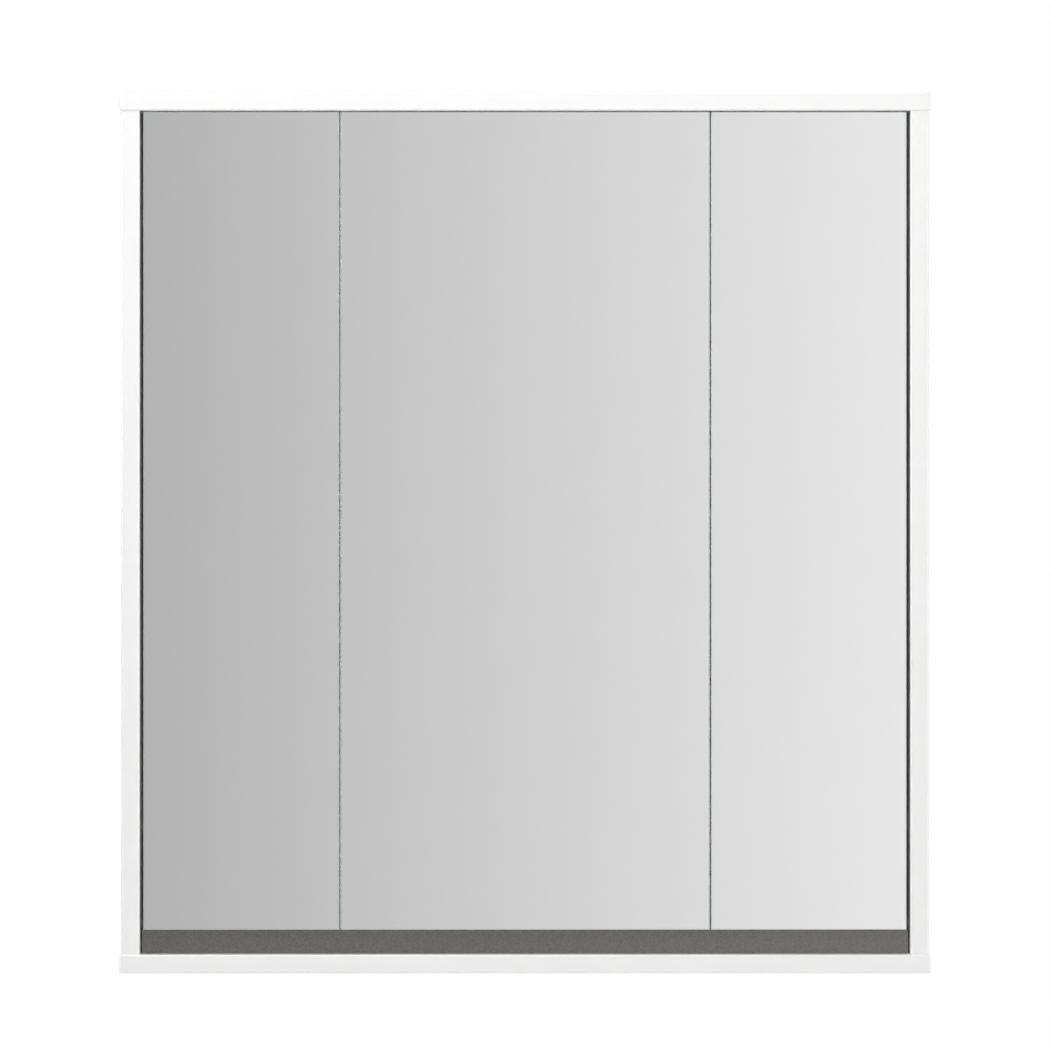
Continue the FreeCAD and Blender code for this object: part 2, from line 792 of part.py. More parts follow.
def hook_span(side):
    """The X range of one hook, from left to right."""
    middle = side * (side_in_x - hanger_width / 2)
    return middle - hook_thickness / 2, middle + hook_thickness / 2


def hanger_hook(side):
    """Steel hook: bar out of the hanger, through the back, with a nose behind the wall plate's lip."""
    x0, x1 = hook_span(side)
    nose_rear_y = -hook_wall_air
    nose_front_y = nose_rear_y - hook_nose
    bar = block(x0, x1, back_front_y - hook_inside, nose_rear_y, lip_top_z, hook_top_z)
    nose = block(x0, x1, nose_front_y, nose_rear_y, lip_top_z - hook_nose_length, hook_top_z)
    hook = bar.fuse(nose).removeSplitter()
    front_y = back_front_y - hook_inside
    upper = ridges(hook, lambda p: near(p.z, hook_top_z) and (near(p.y, front_y) or near(p.y, nose_rear_y)))
    hook = hook.makeFillet(hook_round, running(upper, ACROSS))
    tip = ridges(hook, lambda p: near(p.y, nose_front_y) and near(p.z, lip_top_z - hook_nose_length))
    return hook.makeChamfer(hook_lead, tip)


def hanger_screw_seats(side):
    """Where the height and depth adjusting screws sit in the front of a hanger body."""
    x = side * (side_in_x - hanger_width / 2)
    front_y = back_front_y - hanger_depth
    return [V(x, front_y, hanger_mid_z + end * hanger_screw_span / 2) for end in (-1, 1)]


def hanger_body(side):
    """Moulded hanger body on pegs in the side board, with a slot for its hook and a sunk inner face."""
    inner_x = side * (side_in_x - hanger_width)
    foot_z = hanger_top_z - hanger_height
    front_y = back_front_y - hanger_depth
    body = block(side * side_in_x, inner_x, front_y, back_front_y, foot_z, hanger_top_z)
    body = body.makeFillet(hanger_round, ridges(body, lambda p: near(p.x, inner_x)))
    h0, h1 = hook_span(side)
    slot = block(
        h0 - hook_fit, h1 + hook_fit, back_front_y - hook_inside - hook_fit, back_front_y,
        lip_top_z - hook_fit, hook_top_z + hook_fit,
    )
    rim = hanger_round + hanger_rib
    pocket = block(
        inner_x, inner_x + side * hanger_pocket, front_y + rim, back_front_y - rim,
        foot_z + rim, hanger_top_z - rim,
    )
    way_radius = hanger_screw_radius + hanger_screw_fit
    ways = [rod(way_radius, seat, INWARD, hanger_screw_length) for seat in hanger_screw_seats(side)]
    pegs = [
        rod(hanger_peg_radius, (side * side_in_x, hanger_peg_y, z), (side, 0, 0), hanger_peg_length)
        for z in hanger_peg_heights
    ]
    return body.cut([slot, pocket] + ways).fuse(pegs).removeSplitter()


def hanger_adjusters(side):
    """Both adjusting screws of a hanger body."""
    return [
        screw(
            seat, INWARD, hanger_screw_radius, hanger_screw_length,
            hanger_screw_head_radius, hanger_screw_head,
        )
        for seat in hanger_screw_seats(side)
    ]


def wall_plate(side):
    """Folded plate on the wall: base with two screw holes, web, and the lip that takes the hook."""
    x0 = side * (side_in_x - wall_plate_side_gap)
    x1 = side * (side_in_x - wall_plate_side_gap - wall_plate_width)
    lip_rear_y = -hook_wall_air - hook_nose - wall_plate_lip_air
    lip_front_y = lip_rear_y - wall_plate_thickness
    web_z = web_top_z - wall_plate_thickness
    base = block(x0, x1, -wall_plate_thickness, 0, plate_tail_z, web_top_z)
    tail_edges = ridges(base, lambda p: near(p.z, plate_tail_z))
    base = base.makeFillet(wall_plate_round, running(tail_edges, INWARD))
    web = block(x0, x1, lip_front_y, 0, web_z, web_top_z)
    lip = block(x0, x1, lip_front_y, lip_rear_y, web_z, lip_top_z)
    lip_edges = ridges(lip, lambda p: near(p.z, lip_top_z))
    lip = lip.makeFillet(wall_plate_round, running(lip_edges, INWARD))
    x_mid = (x0 + x1) / 2
    heights = (upper_hole_z, upper_hole_z - wall_hole_pitch)
    holes = [
        rod(wall_hole_radius, (x_mid, -wall_plate_thickness, z), (0, 1, 0), wall_plate_thickness)
        for z in heights
    ]
    return base.fuse([web, lip]).removeSplitter().cut(holes)


def hangers():
    """Both hangers, their hooks and screws, and the plates that stay on the wall."""
    sides = (-1, 1)
    return {
        "hanger_bodies": Part.makeCompound([hanger_body(s) for s in sides]),
        "hanger_hooks": Part.makeCompound([hanger_hook(s) for s in sides]),
        "hanger_screws": Part.makeCompound([screw for s in sides for screw in hanger_adjusters(s)]),
        "wall_plates": Part.makeCompound([wall_plate(s) for s in sides]),
    }


# The whole cabinet

def cabinet():
    """Every piece by its node name, with heights above the underside."""
    fittings = joint_fittings()
    pieces = case_boards(fittings["bores"])
    pieces.update(edge_bands())
    pieces["back_panel"] = back_panel()
    pieces["grip_strip"] = grip_strip(fittings["bores"])
    pieces["cam_locks"] = Part.makeCompound(fittings["cams"])
    pieces["cam_caps"] = Part.makeCompound(fittings["caps"])
    pieces["cam_bolts"] = Part.makeCompound(fittings["bolts"])
    pieces["wooden_dowels"] = Part.makeCompound(fittings["dowels"])
    pieces.update(shelves_and_pins())
    side_face_u = -side_gap
    divider_face_u = arm_base_u - divider_plate_height
    pieces.update(door_set("left", side_door_width, left_edge_x, side_face_u, False))
    pieces.update(door_set("centre", centre_door_width, centre_edge_x, divider_face_u, False))
    pieces.update(door_set("right", side_door_width, left_edge_x, side_face_u, True))
    pieces.update(hangers())
    return pieces


def main():
    os.makedirs("parts", exist_ok=True)
    for name, shape in cabinet().items():
        shape.translate(V(0, 0, -hang_height))
        shape.exportStep(f"parts/{name}.step")


main()
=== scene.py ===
import json
from math import radians

import bpy
import numpy as np
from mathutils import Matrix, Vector


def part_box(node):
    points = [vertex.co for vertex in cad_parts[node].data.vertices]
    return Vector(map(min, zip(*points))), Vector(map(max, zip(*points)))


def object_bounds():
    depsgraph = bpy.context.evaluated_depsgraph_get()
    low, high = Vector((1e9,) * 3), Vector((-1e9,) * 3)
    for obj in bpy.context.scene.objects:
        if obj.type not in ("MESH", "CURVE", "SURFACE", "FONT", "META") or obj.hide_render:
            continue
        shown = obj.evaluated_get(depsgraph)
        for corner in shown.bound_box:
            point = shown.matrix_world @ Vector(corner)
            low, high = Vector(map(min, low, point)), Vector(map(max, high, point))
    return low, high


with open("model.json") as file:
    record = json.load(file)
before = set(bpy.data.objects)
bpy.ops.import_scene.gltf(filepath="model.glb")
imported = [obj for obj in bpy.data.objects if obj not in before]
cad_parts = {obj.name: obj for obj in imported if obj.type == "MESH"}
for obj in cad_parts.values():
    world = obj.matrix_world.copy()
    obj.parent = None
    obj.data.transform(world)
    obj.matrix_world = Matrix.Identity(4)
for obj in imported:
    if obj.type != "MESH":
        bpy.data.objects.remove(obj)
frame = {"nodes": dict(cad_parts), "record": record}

cad_low, cad_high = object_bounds()
nodes = frame["nodes"]
scene = bpy.context.scene

DOORS = ("left", "centre", "right")
MICRON = 1e-6

# The photograph's frame, in pixels, and where the cabinet lies in it
FRAME_PIXELS = 1050.0
CABINET_LEFT_PIXEL = 119.0
CABINET_RIGHT_PIXEL = 931.0
CABINET_MIDDLE_ROW = 532.6
CAMERA_DISTANCE = 4.0
SENSOR = 36.0

# The pale surroundings, in metres
BACKDROP_DISTANCE = 6.2
BACKDROP_HALF_WIDTH = 7.5
BACKDROP_HALF_HEIGHT = 4.6
FLOOR_DROP = 0.9
FLOOR_HALF_SIZE = 5.0
FLOOR_FADE_START = 2.0
FLOOR_FADE_END = 4.6

# How bright they are, as linear light
WHITE = 1.0
EVEN_LIGHT = 0.14
FLOOR_GLOW = 0.8
FLOOR_PAINT = (0.9, 0.9, 0.9, 1.0)

# How bright the mirrors show the room, from left to right, as linear light
MIRROR_REFLECTANCE = 0.9
MIRROR_MIDDLE_LIGHT = 0.622
MIRROR_LIGHT_PER_METRE = 0.529
MIRROR_HALF_SPAN = 0.40

# Further out the room turns back to a middle tone, and near the backdrop's ends it fades to white
RIGHT_DIMMING = 0.42
LEFT_BRIGHTENING = 0.25
ROOM_TURN_START = 1.3
ROOM_TURN_END = 4.0
BACKDROP_FADE_START = 0.5

# Soft boxes, which look at the middle of the front: place from there, width and height in metres, and watts
SOFT_BOXES = {
    "camera_box": ((0, -3.9, 0.1), 0.06, 0.5, 60),
    "upper_box": ((-0.2, -1.0, 1.38), 0.8, 0.8, 12),
    "left_box": ((-2.4, -0.6, 0.5), 1.0, 1.0, 18),
    "right_box": ((2.5, -0.4, -0.1), 1.0, 2.0, 20),
    "top_box": ((0, 0.08, 2.38), 1.2, 1.2, 7),
    "rear_box": ((0.8, 2.66, 1.18), 1.2, 1.2, 30),
}

front_y = cad_low.y
middle_x = (cad_low.x + cad_high.x) / 2
middle_z = (cad_low.z + cad_high.z) / 2
mirror_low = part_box("centre_mirror")[0]


# Node building

# Where most of a noise lies, and how squarely a flat face and a rounded edge look along an axis
NOISE_LOW = 0.3
NOISE_HIGH = 0.7
SQUARE_FACE = 0.98
ROUNDED_EDGE = 0.75

# Sockets of Blender's mixing node, which has one set for values and one for colours
MIX_FACTOR = 0
MIX_VALUES = (2, 3)
MIX_COLOURS = (6, 7)
MIXED_VALUE = 0
MIXED_COLOUR = 2


def feed(tree, source, socket):
    """Sets a number or a colour on a socket, or links an output to it."""
    if isinstance(source, tuple):
        socket.default_value = (*source, 1.0)
    elif isinstance(source, (int, float)):
        socket.default_value = source
    else:
        tree.links.new(source, socket)


def value_between(tree, share, first, second):
    """A value carried by a share from the first to the second, each a number or an output."""
    node = tree.nodes.new("ShaderNodeMix")
    tree.links.new(share, node.inputs[MIX_FACTOR])
    for source, socket in zip((first, second), MIX_VALUES):
        feed(tree, source, node.inputs[socket])
    return node.outputs[MIXED_VALUE]


def seen_rays(tree, kinds):
    """1 for rays of these kinds, 0 for the others."""
    path = tree.nodes.new("ShaderNodeLightPath")
    total = path.outputs[kinds[0]]
    for kind in kinds[1:]:
        larger = tree.nodes.new("ShaderNodeMath")
        larger.operation = "MAXIMUM"
        tree.links.new(total, larger.inputs[0])
        tree.links.new(path.outputs[kind], larger.inputs[1])
        total = larger.outputs["Value"]
    return total


class Finish:
    """A material in the making: its node tree, its shader and short ways to add nodes."""

    def __init__(self, name, **sockets):
        self.material = bpy.data.materials.new(name)
        self.material.use_nodes = True
        self.tree = self.material.node_tree
        self.shader = self.tree.nodes["Principled BSDF"]
        for socket, value in sockets.items():
            self.shader.inputs[socket.replace("_", " ")].default_value = value
        self.place = self.tree.nodes.new("ShaderNodeTexCoord")

    def link(self, source, target):
        self.tree.links.new(source, target)

    def set(self, socket, source):
        self.link(source, self.shader.inputs[socket])

    def stretched(self, stretch):
        """The piece's own coordinates, stretched along its axes."""
        mapping = self.tree.nodes.new("ShaderNodeMapping")
        mapping.inputs["Scale"].default_value = stretch
        self.link(self.place.outputs["Object"], mapping.inputs["Vector"])
        return mapping.outputs["Vector"]

    def noise(self, per_metre, detail=4.0, roughness=0.55, stretch=(1, 1, 1), distortion=0.0):
        """Noise with so many cells per metre, stretched along the axes of the piece."""
        texture = self.tree.nodes.new("ShaderNodeTexNoise")
        texture.inputs["Scale"].default_value = per_metre
        texture.inputs["Detail"].default_value = detail
        texture.inputs["Roughness"].default_value = roughness
        texture.inputs["Distortion"].default_value = distortion
        self.link(self.stretched(stretch), texture.inputs["Vector"])
        return texture.outputs["Fac"]

    def cells(self, per_metre, stretch=(1, 1, 1)):
        """Random brightness per cell, with so many cells per metre."""
        texture = self.tree.nodes.new("ShaderNodeTexVoronoi")
        texture.inputs["Scale"].default_value = per_metre
        self.link(self.stretched(stretch), texture.inputs["Vector"])
        split = self.tree.nodes.new("ShaderNodeSeparateColor")
        self.link(texture.outputs["Color"], split.inputs["Color"])
        return split.outputs["Red"]

    def spread(self, source, low, high, from_low=NOISE_LOW, from_high=NOISE_HIGH, course="LINEAR"):
        """A value carried from one range to another."""
        node = self.tree.nodes.new("ShaderNodeMapRange")
        node.interpolation_type = course
        node.inputs["From Min"].default_value = from_low
        node.inputs["From Max"].default_value = from_high
        node.inputs["To Min"].default_value = low
        node.inputs["To Max"].default_value = high
        self.link(source, node.inputs["Value"])
        return node.outputs["Result"]

    def blend(self, share, first, second):
        """Two colours, each a tuple or an output, mixed by a share."""
        node = self.tree.nodes.new("ShaderNodeMix")
        node.data_type = "RGBA"
        self.link(share, node.inputs[MIX_FACTOR])
        for source, socket in zip((first, second), MIX_COLOURS):
            feed(self.tree, source, node.inputs[socket])
        return node.outputs[MIXED_COLOUR]

    def math(self, operation, first, second=0.0):
        """One or two values, each a number or an output, put through an operation."""
        node = self.tree.nodes.new("ShaderNodeMath")
        node.operation = operation
        for source, socket in zip((first, second), node.inputs):
            feed(self.tree, source, socket)
        return node.outputs["Value"]

    def mixed(self, *parts):
        """The sum of several outputs, each times its own share."""
        total = 0.0
        for output, share in parts:
            total = self.math("ADD", total, self.math("MULTIPLY", output, share))
        return total

    def part_of(self, output, axis):
        """One component of the object's coordinates or of its surface direction."""
        split = self.tree.nodes.new("ShaderNodeSeparateXYZ")
        self.link(self.place.outputs[output], split.inputs["Vector"])
        return split.outputs[axis]

    def facing(self, axis):
        """How squarely the surface looks along an axis, either way."""
        return self.math("ABSOLUTE", self.part_of("Normal", axis))

    def rounding(self):
        """0 on faces that look along an axis, rising to 1 on the rounded edges between them."""
        along = 0.0
        for axis in "XYZ":
            along = self.math("MAXIMUM", along, self.facing(axis))
        return self.spread(along, 1, 0, ROUNDED_EDGE, SQUARE_FACE)

    def relief(self, source, depth, strength):
        """Bumps of a depth in metres."""
        node = self.tree.nodes.new("ShaderNodeBump")
        node.inputs["Strength"].default_value = strength
        node.inputs["Distance"].default_value = depth
        self.link(source, node.inputs["Height"])
        self.set("Normal", node.outputs["Normal"])


# Finishes of the boards: colours from dark to light, and roughness from smooth to dull

WHITE_FOIL = ((0.852, 0.853, 0.846), (0.868, 0.870, 0.864))
# Paler white painted on the edge bands' rounded edges: a painted highlight
PAINTED_HIGHLIGHT_WHITE = (0.925, 0.927, 0.922)
CHIPS = ((0.30, 0.19, 0.10), (0.62, 0.46, 0.28))
FIBRES = ((0.22, 0.13, 0.07), (0.36, 0.22, 0.12))
GREY_FOIL = ((0.076, 0.0685, 0.060), (0.157, 0.141, 0.127))

SATIN_ROUGHNESS = (0.36, 0.47)
CASE_BAND_ROUGHNESS = (0.16, 0.24)
DOOR_BAND_ROUGHNESS = (0.08, 0.14)
GREY_ROUGHNESS = (0.13, 0.23)
LACQUER_ROUGHNESS = 0.42
BARE_FIBRE_DULLNESS = 0.3
BARE_CHIP_ROUGHNESS = 0.85

# Where the grey grain's mix lies, a chip's thickness per length, and how squarely a wide face and a
# rear face look along an axis
GREY_GRAIN = (0.25, 0.75)
CHIP_FLATNESS = 0.4
WIDE_FACE = 0.7
REAR_FACE = 0.5


def chipboard(finish, axis):
    """Pressed wood chips of several sizes, lying flat in a board whose wide faces look along an axis."""
    lying = tuple(1.0 if letter == axis else CHIP_FLATNESS for letter in "XYZ")
    flakes = finish.cells(per_metre=620, stretch=lying)
    splinters = finish.cells(per_metre=1500, stretch=lying)
    dust = finish.noise(per_metre=1900, detail=3)
    return finish.blend(finish.mixed((flakes, 0.5), (splinters, 0.3), (dust, 0.2)), *CHIPS)


def white_melamine(name, axis):
    """Satin white foil on the two wide faces, which look along an axis, and bare chipboard elsewhere."""
    finish = Finish(name, Roughness=0.42, IOR=1.5)
    pearl = finish.noise(per_metre=850, detail=2)
    white = finish.blend(finish.spread(pearl, 0, 1), *WHITE_FOIL)
    bare = finish.math("LESS_THAN", finish.facing(axis), WIDE_FACE)
    finish.set("Base Color", finish.blend(bare, white, chipboard(finish, axis)))
    satin = finish.spread(finish.noise(per_metre=420, detail=5), *SATIN_ROUGHNESS)
    rough = finish.math("MULTIPLY", bare, BARE_CHIP_ROUGHNESS)
    finish.set("Roughness", finish.math("MAXIMUM", satin, rough))
    finish.relief(pearl, depth=30 * MICRON, strength=0.6)
    return finish.material


def white_edge_band(name, roughness):
    """Plastic edge band: the boards' white with faint drag marks, smoother on its rounded edges, where the
    white is also painted paler as a painted highlight.
    """
    smoothest, dullest = roughness
    finish = Finish(name, Roughness=smoothest, IOR=1.5)
    speckle = finish.noise(per_metre=1100, detail=3)
    white = finish.blend(finish.spread(speckle, 0, 1), *WHITE_FOIL)
    edge = finish.rounding()
    # The rounded edges get a paler white here: a painted highlight
    finish.set("Base Color", finish.blend(edge, white, PAINTED_HIGHLIGHT_WHITE))
    drag = finish.noise(per_metre=1400, detail=2, stretch=(0.02, 1, 0.02))
    rubbed = finish.math("MULTIPLY", edge, (dullest - smoothest) / 2)
    finish.set("Roughness", finish.math("SUBTRACT", finish.spread(drag, smoothest, dullest), rubbed))
    finish.relief(drag, depth=20 * MICRON, strength=0.5)
    return finish.material


def grey_melamine():
    """Anthracite foil with a fine sandy grain."""
    finish = Finish("grey_melamine", Roughness=0.18, IOR=1.8)
    sand = finish.noise(per_metre=620, detail=5, roughness=0.8)
    specks = finish.cells(per_metre=1100)
    grain = finish.mixed((sand, 0.75), (specks, 0.25))
    finish.set("Base Color", finish.blend(finish.spread(grain, 0, 1, *GREY_GRAIN), *GREY_FOIL))
    finish.set("Roughness", finish.spread(sand, *GREY_ROUGHNESS))
    finish.relief(sand, depth=40 * MICRON, strength=0.6)
    return finish.material


def hardboard():
    """Thin fibreboard: white lacquer towards the shelves, pressed brown fibre towards the wall."""
    finish = Finish("hardboard", Roughness=0.5, IOR=1.48)
    clouds = finish.noise(per_metre=6, detail=3)
    white = finish.blend(finish.spread(clouds, 0, 1), *WHITE_FOIL)
    fibres = finish.noise(per_metre=420, detail=6, roughness=0.75, stretch=(1, 1, 0.45), distortion=0.8)
    patches = finish.noise(per_metre=14, detail=4)
    brown = finish.blend(finish.spread(finish.mixed((fibres, 0.7), (patches, 0.3)), 0, 1), *FIBRES)
    rear = finish.math("GREATER_THAN", finish.part_of("Normal", "Y"), REAR_FACE)
    finish.set("Base Color", finish.blend(rear, white, brown))
    duller = finish.math("MULTIPLY", rear, BARE_FIBRE_DULLNESS)
    finish.set("Roughness", finish.math("ADD", duller, LACQUER_ROUGHNESS))
    finish.relief(fibres, depth=60 * MICRON, strength=0.5)
    return finish.material


# Finishes of glass and metal

SILVER = ((0.896, 0.896, 0.896), (0.906, 0.906, 0.906))
GROUND_EDGE = ((0.66, 0.76, 0.72), (0.80, 0.88, 0.85))
ARRIS = ((0.46, 0.54, 0.51), (0.56, 0.64, 0.61))
SHELF_EDGE = ((0.60, 0.83, 0.75), (0.74, 0.92, 0.86))
SHELF_FACE = (0.93, 0.975, 0.96)
NICKEL = ((0.60, 0.59, 0.57), (0.74, 0.73, 0.70))
ZINC = ((0.54, 0.54, 0.55), (0.70, 0.70, 0.71))
CAST_ZINC = ((0.44, 0.44, 0.45), (0.60, 0.60, 0.60))
ZINC_SHEET = ((0.50, 0.51, 0.53), (0.68, 0.69, 0.71))

MIRROR_EDGE_ROUGHNESS = 0.22
SHELF_EDGE_ROUGHNESS = 0.2
SHELF_FACE_ROUGHNESS = 0.015
FINGER_MARKS_FROM = 0.45
FINGER_DULLNESS = 0.04

# Metres that fingers reach up the mirrors, and how squarely a flat face of glass looks along its axis
FINGER_REACH = 0.07
FLAT_FACE = 0.9


def mirror_glass():
    """Silvered glass: a mirror, faintly dulled where fingers pull at its foot. Its ground edges are
    pale green, and darker on the arrises."""
    finish = Finish("mirror_glass", Roughness=0.0, IOR=1.5)
    front = finish.math("LESS_THAN", finish.part_of("Normal", "Y"), -FLAT_FACE)
    haze = finish.noise(per_metre=35, detail=4)
    silver = finish.blend(finish.spread(haze, 0, 1), *SILVER)
    grind = finish.noise(per_metre=700, detail=3)
    edge = finish.blend(grind, *GROUND_EDGE)
    ground = finish.blend(finish.rounding(), edge, finish.blend(grind, *ARRIS))
    finish.set("Base Color", finish.blend(front, ground, silver))
    finish.set("Metallic", front)
    reach = finish.spread(finish.part_of("Object", "Z"), 1, 0, mirror_low.z, mirror_low.z + FINGER_REACH)
    prints = finish.spread(finish.noise(per_metre=60, detail=4), 0, FINGER_DULLNESS, FINGER_MARKS_FROM)
    touched = finish.math("MULTIPLY", reach, prints)
    ground_edge = finish.spread(front, MIRROR_EDGE_ROUGHNESS, 0, 0, 1)
    finish.set("Roughness", finish.math("MAXIMUM", ground_edge, touched))
    return finish.material


def shelf_glass():
    """Clear float glass, greener where it is ground along the edges."""
    finish = Finish("shelf_glass", Roughness=0.03, IOR=1.5, Transmission_Weight=1.0)
    face = finish.math("GREATER_THAN", finish.facing("Z"), FLAT_FACE)
    edge = finish.blend(finish.noise(per_metre=500, detail=3), *SHELF_EDGE)
    finish.set("Base Color", finish.blend(face, edge, SHELF_FACE))
    finish.set("Roughness", finish.spread(face, SHELF_EDGE_ROUGHNESS, SHELF_FACE_ROUGHNESS, 0, 1))
    return finish.material


def plated_steel(name, colours, roughness, stretch=(1, 1, 1)):
    """Plated steel: fine drawing lines, and cloudy patches where the plating dulls."""
    finish = Finish(name, Metallic=1.0, Roughness=roughness[0])
    lines = finish.noise(per_metre=900, detail=3, stretch=stretch)
    clouds = finish.noise(per_metre=90, detail=5, roughness=0.65)
    wear = finish.mixed((lines, 0.4), (clouds, 0.6))
    finish.set("Base Color", finish.blend(finish.spread(wear, 0, 1), *colours))
    finish.set("Roughness", finish.spread(wear, *roughness))
    finish.relief(lines, depth=20 * MICRON, strength=0.5)
    return finish.material


# Finishes of the small pieces

WHITE_PLASTIC = ((0.80, 0.80, 0.78), (0.84, 0.84, 0.82))
MILKY_RUBBER = ((0.78, 0.79, 0.79), (0.9, 0.91, 0.91))
BEECH = ((0.42, 0.27, 0.14), (0.66, 0.48, 0.29))

PLASTIC_ROUGHNESS = (0.34, 0.5)
RUBBER_ROUGHNESS = (0.12, 0.3)
BEECH_ROUGHNESS = (0.5, 0.7)


def moulded_plastic():
    """White moulded plastic with a fine spark-eroded skin."""
    finish = Finish("moulded_plastic", Roughness=0.4, IOR=1.48)
    clouds = finish.noise(per_metre=25, detail=3)
    finish.set("Base Color", finish.blend(finish.spread(clouds, 0, 1), *WHITE_PLASTIC))
    skin = finish.noise(per_metre=2200, detail=2)
    finish.set("Roughness", finish.spread(skin, *PLASTIC_ROUGHNESS))
    finish.relief(skin, depth=30 * MICRON, strength=0.6)
    return finish.material


def clear_rubber():
    """Soft clear bumper, slightly milky."""
    finish = Finish("clear_rubber", Roughness=0.2, IOR=1.45, Transmission_Weight=0.75)
    milk = finish.noise(per_metre=400, detail=4)
    finish.set("Base Color", finish.blend(finish.spread(milk, 0, 1), *MILKY_RUBBER))
    finish.set("Roughness", finish.spread(milk, *RUBBER_ROUGHNESS))
    return finish.material


def beech():
    """Beech with short dark flecks along the grain."""
    finish = Finish("beech", Roughness=0.6, IOR=1.45)
    grain = finish.noise(per_metre=500, detail=4, stretch=(1, 1, 0.06))
    flecks = finish.noise(per_metre=1600, detail=2, stretch=(1, 1, 0.15))
    wood = finish.mixed((grain, 0.6), (flecks, 0.4))
    finish.set("Base Color", finish.blend(finish.spread(wood, 0, 1), *BEECH))
    finish.set("Roughness", finish.spread(flecks, *BEECH_ROUGHNESS))
    finish.relief(grain, depth=60 * MICRON, strength=0.6)
    return finish.material


def dress(finishes):
    """Gives every node the finish of its own name, or else of its material slot."""
    for part in frame["record"]["subparts"]:
        node = part["node"]
        mesh = nodes[node].data
        mesh.materials.clear()
        mesh.materials.append(finishes.get(node, finishes[part["material_slot"]]))


level_white = white_melamine("level_board", "Z")
door_white = white_melamine("door_board", "Y")
door_band = white_edge_band("door_edge_band", DOOR_BAND_ROUGHNESS)
dress({
    "top_panel": level_white,
    "bottom_panel": level_white,
    **{f"{door}_door_panel": door_white for door in DOORS},
    **{f"{door}_door_edging": door_band for door in DOORS},
    "white_board": white_melamine("upright_board", "X"),
    "white_edging": white_edge_band("case_edge_band", CASE_BAND_ROUGHNESS),
    "grey_board": grey_melamine(),
    "hardboard": hardboard(),
    "mirror_glass": mirror_glass(),
    "shelf_glass": shelf_glass(),
    "hinge_steel": plated_steel("nickel_plate", NICKEL, roughness=(0.18, 0.34), stretch=(1, 1, 0.05)),
    "screw_steel": plated_steel("zinc_plate", ZINC, roughness=(0.26, 0.42)),
    "cast_zinc": plated_steel("cast_zinc", CAST_ZINC, roughness=(0.38, 0.55)),
    "wall_steel": plated_steel("zinc_sheet", ZINC_SHEET, roughness=(0.3, 0.5), stretch=(1, 1, 0.3)),
    "white_plastic": moulded_plastic(),
    "clear_rubber": clear_rubber(),
    "beech": beech(),
})


# The pale surroundings

def flat_sheet(name, corner, across, along):
    """A stage sheet: corner + s * across + t * along on a grid of two by two points."""
    s, t = np.meshgrid([0.0, 1.0], [0.0, 1.0], indexing="ij")
    points = np.array(corner) + s[..., None] * np.array(across) + t[..., None] * np.array(along)
    mesh = bpy.data.meshes.new(name)
    mesh.from_pydata(points.reshape(-1, 3).tolist(), [], [(0, 2, 3, 1)])
    sheet = bpy.data.objects.new(name, mesh)
    scene.collection.objects.link(sheet)
    return sheet


def mirror_tone(finish):
    """How bright the mirrors show a point of the room: it rises from left to right, turns back further
    out, and fades to white at the backdrop's ends."""
    mirror_range = CAMERA_DISTANCE + mirror_low.y - front_y
    half_span = MIRROR_HALF_SPAN * (mirror_range + BACKDROP_DISTANCE) / mirror_range
    half_step = MIRROR_LIGHT_PER_METRE * MIRROR_HALF_SPAN
    darkest = (MIRROR_MIDDLE_LIGHT - half_step) / MIRROR_REFLECTANCE
    brightest = (MIRROR_MIDDLE_LIGHT + half_step) / MIRROR_REFLECTANCE
    across = finish.part_of("Object", "X")
    rise = finish.spread(across, darkest, brightest, -half_span, half_span)
    dimmed = finish.spread(across, 0, RIGHT_DIMMING, ROOM_TURN_START, ROOM_TURN_END, "SMOOTHSTEP")
    lit = finish.spread(across, LEFT_BRIGHTENING, 0, -ROOM_TURN_END, -ROOM_TURN_START, "SMOOTHSTEP")
    tone = finish.math("ADD", finish.math("SUBTRACT", rise, dimmed), lit)
    height = finish.math("SUBTRACT", finish.part_of("Object", "Z"), middle_z)
    sideways = finish.math("DIVIDE", finish.math("ABSOLUTE", across), BACKDROP_HALF_WIDTH)
    upwards = finish.math("DIVIDE", finish.math("ABSOLUTE", height), BACKDROP_HALF_HEIGHT)
    fade = finish.spread(finish.math("MAXIMUM", sideways, upwards), 0, 1, BACKDROP_FADE_START, 1)
    return value_between(finish.tree, fade, tone, WHITE)


def room_light():
    """The far wall behind the camera: white to the camera and to glass, and its own tone to the mirrors."""
    wall = flat_sheet(
        "far_wall",
        (-BACKDROP_HALF_WIDTH, mirror_low.y - BACKDROP_DISTANCE, middle_z - BACKDROP_HALF_HEIGHT),
        (2 * BACKDROP_HALF_WIDTH, 0, 0),
        (0, 0, 2 * BACKDROP_HALF_HEIGHT),
    )
    finish = Finish("far_wall_light")
    tree = finish.tree
    seen = seen_rays(tree, ["Is Camera Ray", "Is Transmission Ray"])
    plain = value_between(tree, seen, EVEN_LIGHT, WHITE)
    strength = value_between(tree, seen_rays(tree, ["Is Glossy Ray"]), plain, mirror_tone(finish))
    glow = tree.nodes.new("ShaderNodeEmission")
    finish.link(strength, glow.inputs["Strength"])
    finish.link(glow.outputs["Emission"], tree.nodes["Material Output"].inputs["Surface"])
    wall.data.materials.append(finish.material)


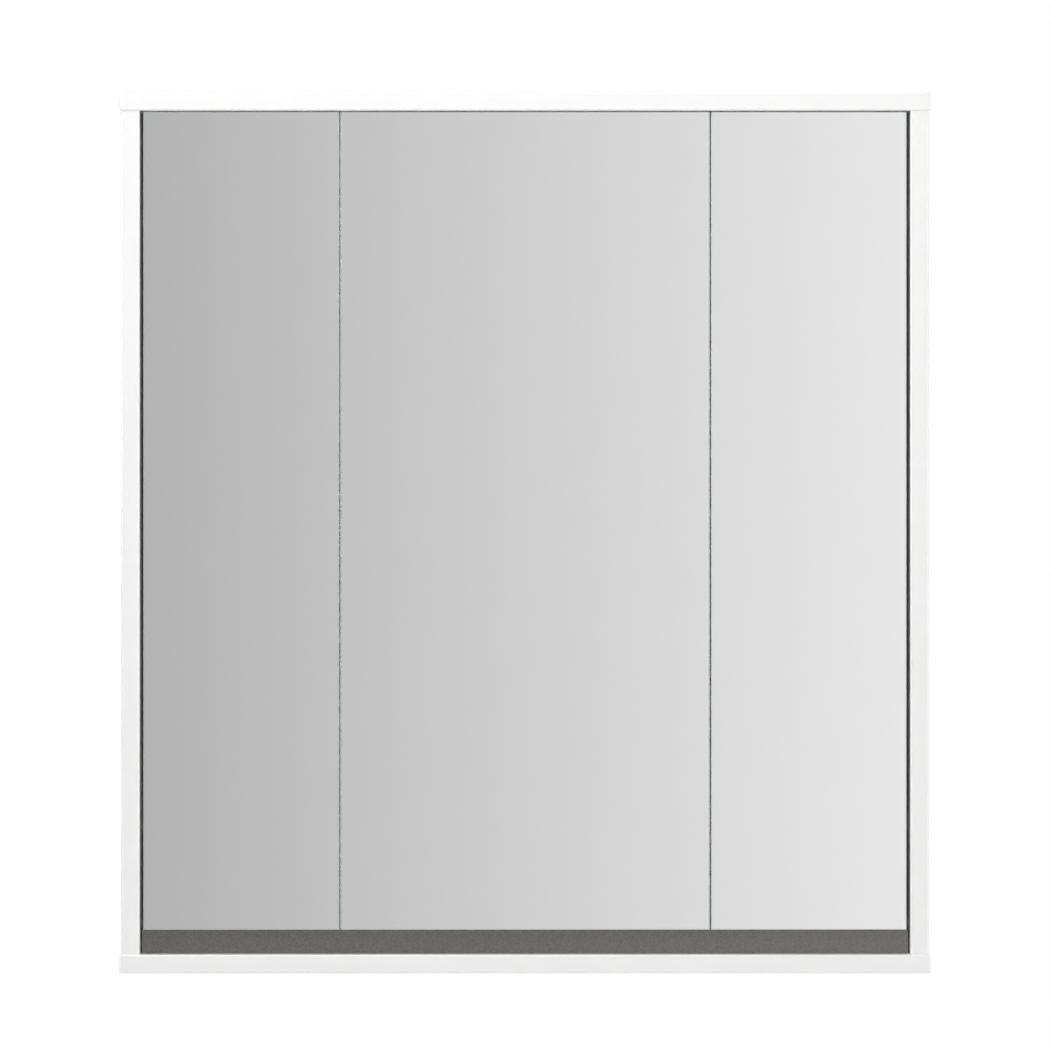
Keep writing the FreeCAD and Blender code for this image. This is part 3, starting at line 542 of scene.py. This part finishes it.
def pale_floor():
    """A white floor well below the cabinet. It keeps the shadow, fades into the white further out, and
    to the mirrors into the far wall's tone. From below it is clear, so that it hides no view of the
    underside."""
    floor = flat_sheet(
        "pale_floor",
        (-FLOOR_HALF_SIZE, -FLOOR_HALF_SIZE, cad_low.z - FLOOR_DROP),
        (2 * FLOOR_HALF_SIZE, 0, 0),
        (0, 2 * FLOOR_HALF_SIZE, 0),
    )
    finish = Finish("pale_floor", Roughness=0.9, Base_Color=FLOOR_PAINT)
    tree = finish.tree
    reach = tree.nodes.new("ShaderNodeVectorMath")
    reach.operation = "LENGTH"
    finish.link(finish.place.outputs["Object"], reach.inputs[0])
    far = finish.spread(reach.outputs["Value"], 0, 1, FLOOR_FADE_START, FLOOR_FADE_END)
    mirrored = finish.math("MULTIPLY", seen_rays(tree, ["Is Glossy Ray"]), far)
    glow = tree.nodes.new("ShaderNodeEmission")
    finish.link(value_between(tree, mirrored, WHITE, mirror_tone(finish)), glow.inputs["Strength"])
    seen = seen_rays(tree, ["Is Camera Ray", "Is Glossy Ray", "Is Transmission Ray"])
    share = finish.math("MULTIPLY", seen, finish.spread(far, FLOOR_GLOW, 1, 0, 1))
    above = tree.nodes.new("ShaderNodeMixShader")
    finish.link(share, above.inputs["Fac"])
    finish.link(finish.shader.outputs["BSDF"], above.inputs[1])
    finish.link(glow.outputs["Emission"], above.inputs[2])
    side = tree.nodes.new("ShaderNodeNewGeometry")
    clear = tree.nodes.new("ShaderNodeBsdfTransparent")
    either = tree.nodes.new("ShaderNodeMixShader")
    finish.link(side.outputs["Backfacing"], either.inputs["Fac"])
    finish.link(above.outputs["Shader"], either.inputs[1])
    finish.link(clear.outputs["BSDF"], either.inputs[2])
    finish.link(either.outputs["Shader"], tree.nodes["Material Output"].inputs["Surface"])
    floor.data.materials.append(finish.material)


def white_world():
    """White to the camera, to metal and to glass, and a softer even light for the rest."""
    world = bpy.data.worlds.new("white_world")
    world.use_nodes = True
    tree = world.node_tree
    background = tree.nodes["Background"]
    background.inputs["Color"].default_value = (1.0, 1.0, 1.0, 1.0)
    seen = seen_rays(tree, ["Is Camera Ray", "Is Glossy Ray", "Is Transmission Ray"])
    tree.links.new(value_between(tree, seen, EVEN_LIGHT, WHITE), background.inputs["Strength"])
    scene.world = world


def soft_box(name, place, width, height, power):
    """A soft box that looks at the middle of the cabinet's front, from a place given from there."""
    data = bpy.data.lights.new(name, "AREA")
    data.shape = "RECTANGLE"
    data.size = width
    data.size_y = height
    data.energy = power
    lamp = bpy.data.objects.new(name, data)
    lamp.location = Vector((0, front_y, middle_z)) + Vector(place)
    lamp.rotation_mode = "QUATERNION"
    lamp.rotation_quaternion = (-Vector(place)).to_track_quat("-Z", "Y")
    lamp.visible_camera = False
    scene.collection.objects.link(lamp)
    return lamp


def photograph_camera():
    """A level camera in front of the cabinet's middle, framed by the pixels that the cabinet spans."""
    metres_per_pixel = (cad_high.x - cad_low.x) / (CABINET_RIGHT_PIXEL - CABINET_LEFT_PIXEL)
    frame_width = FRAME_PIXELS * metres_per_pixel
    middle_pixel = (CABINET_LEFT_PIXEL + CABINET_RIGHT_PIXEL) / 2
    data = bpy.data.cameras.new("photograph_camera")
    data.sensor_width = SENSOR
    data.lens = SENSOR * CAMERA_DISTANCE / frame_width
    camera = bpy.data.objects.new("photograph_camera", data)
    camera.location = (
        middle_x - (middle_pixel - FRAME_PIXELS / 2) * metres_per_pixel,
        front_y - CAMERA_DISTANCE,
        middle_z + (CABINET_MIDDLE_ROW - FRAME_PIXELS / 2) * metres_per_pixel,
    )
    camera.rotation_euler = (radians(90), 0, 0)
    scene.collection.objects.link(camera)
    scene.camera = camera


room_light()
pale_floor()
white_world()
lamps = {name: soft_box(name, *facts) for name, facts in SOFT_BOXES.items()}
# The mirrors don't show the box beside the camera, which lights the bottom of the door seams
lamps["camera_box"].visible_glossy = False
photograph_camera()
scene.view_settings.view_transform = "Standard"
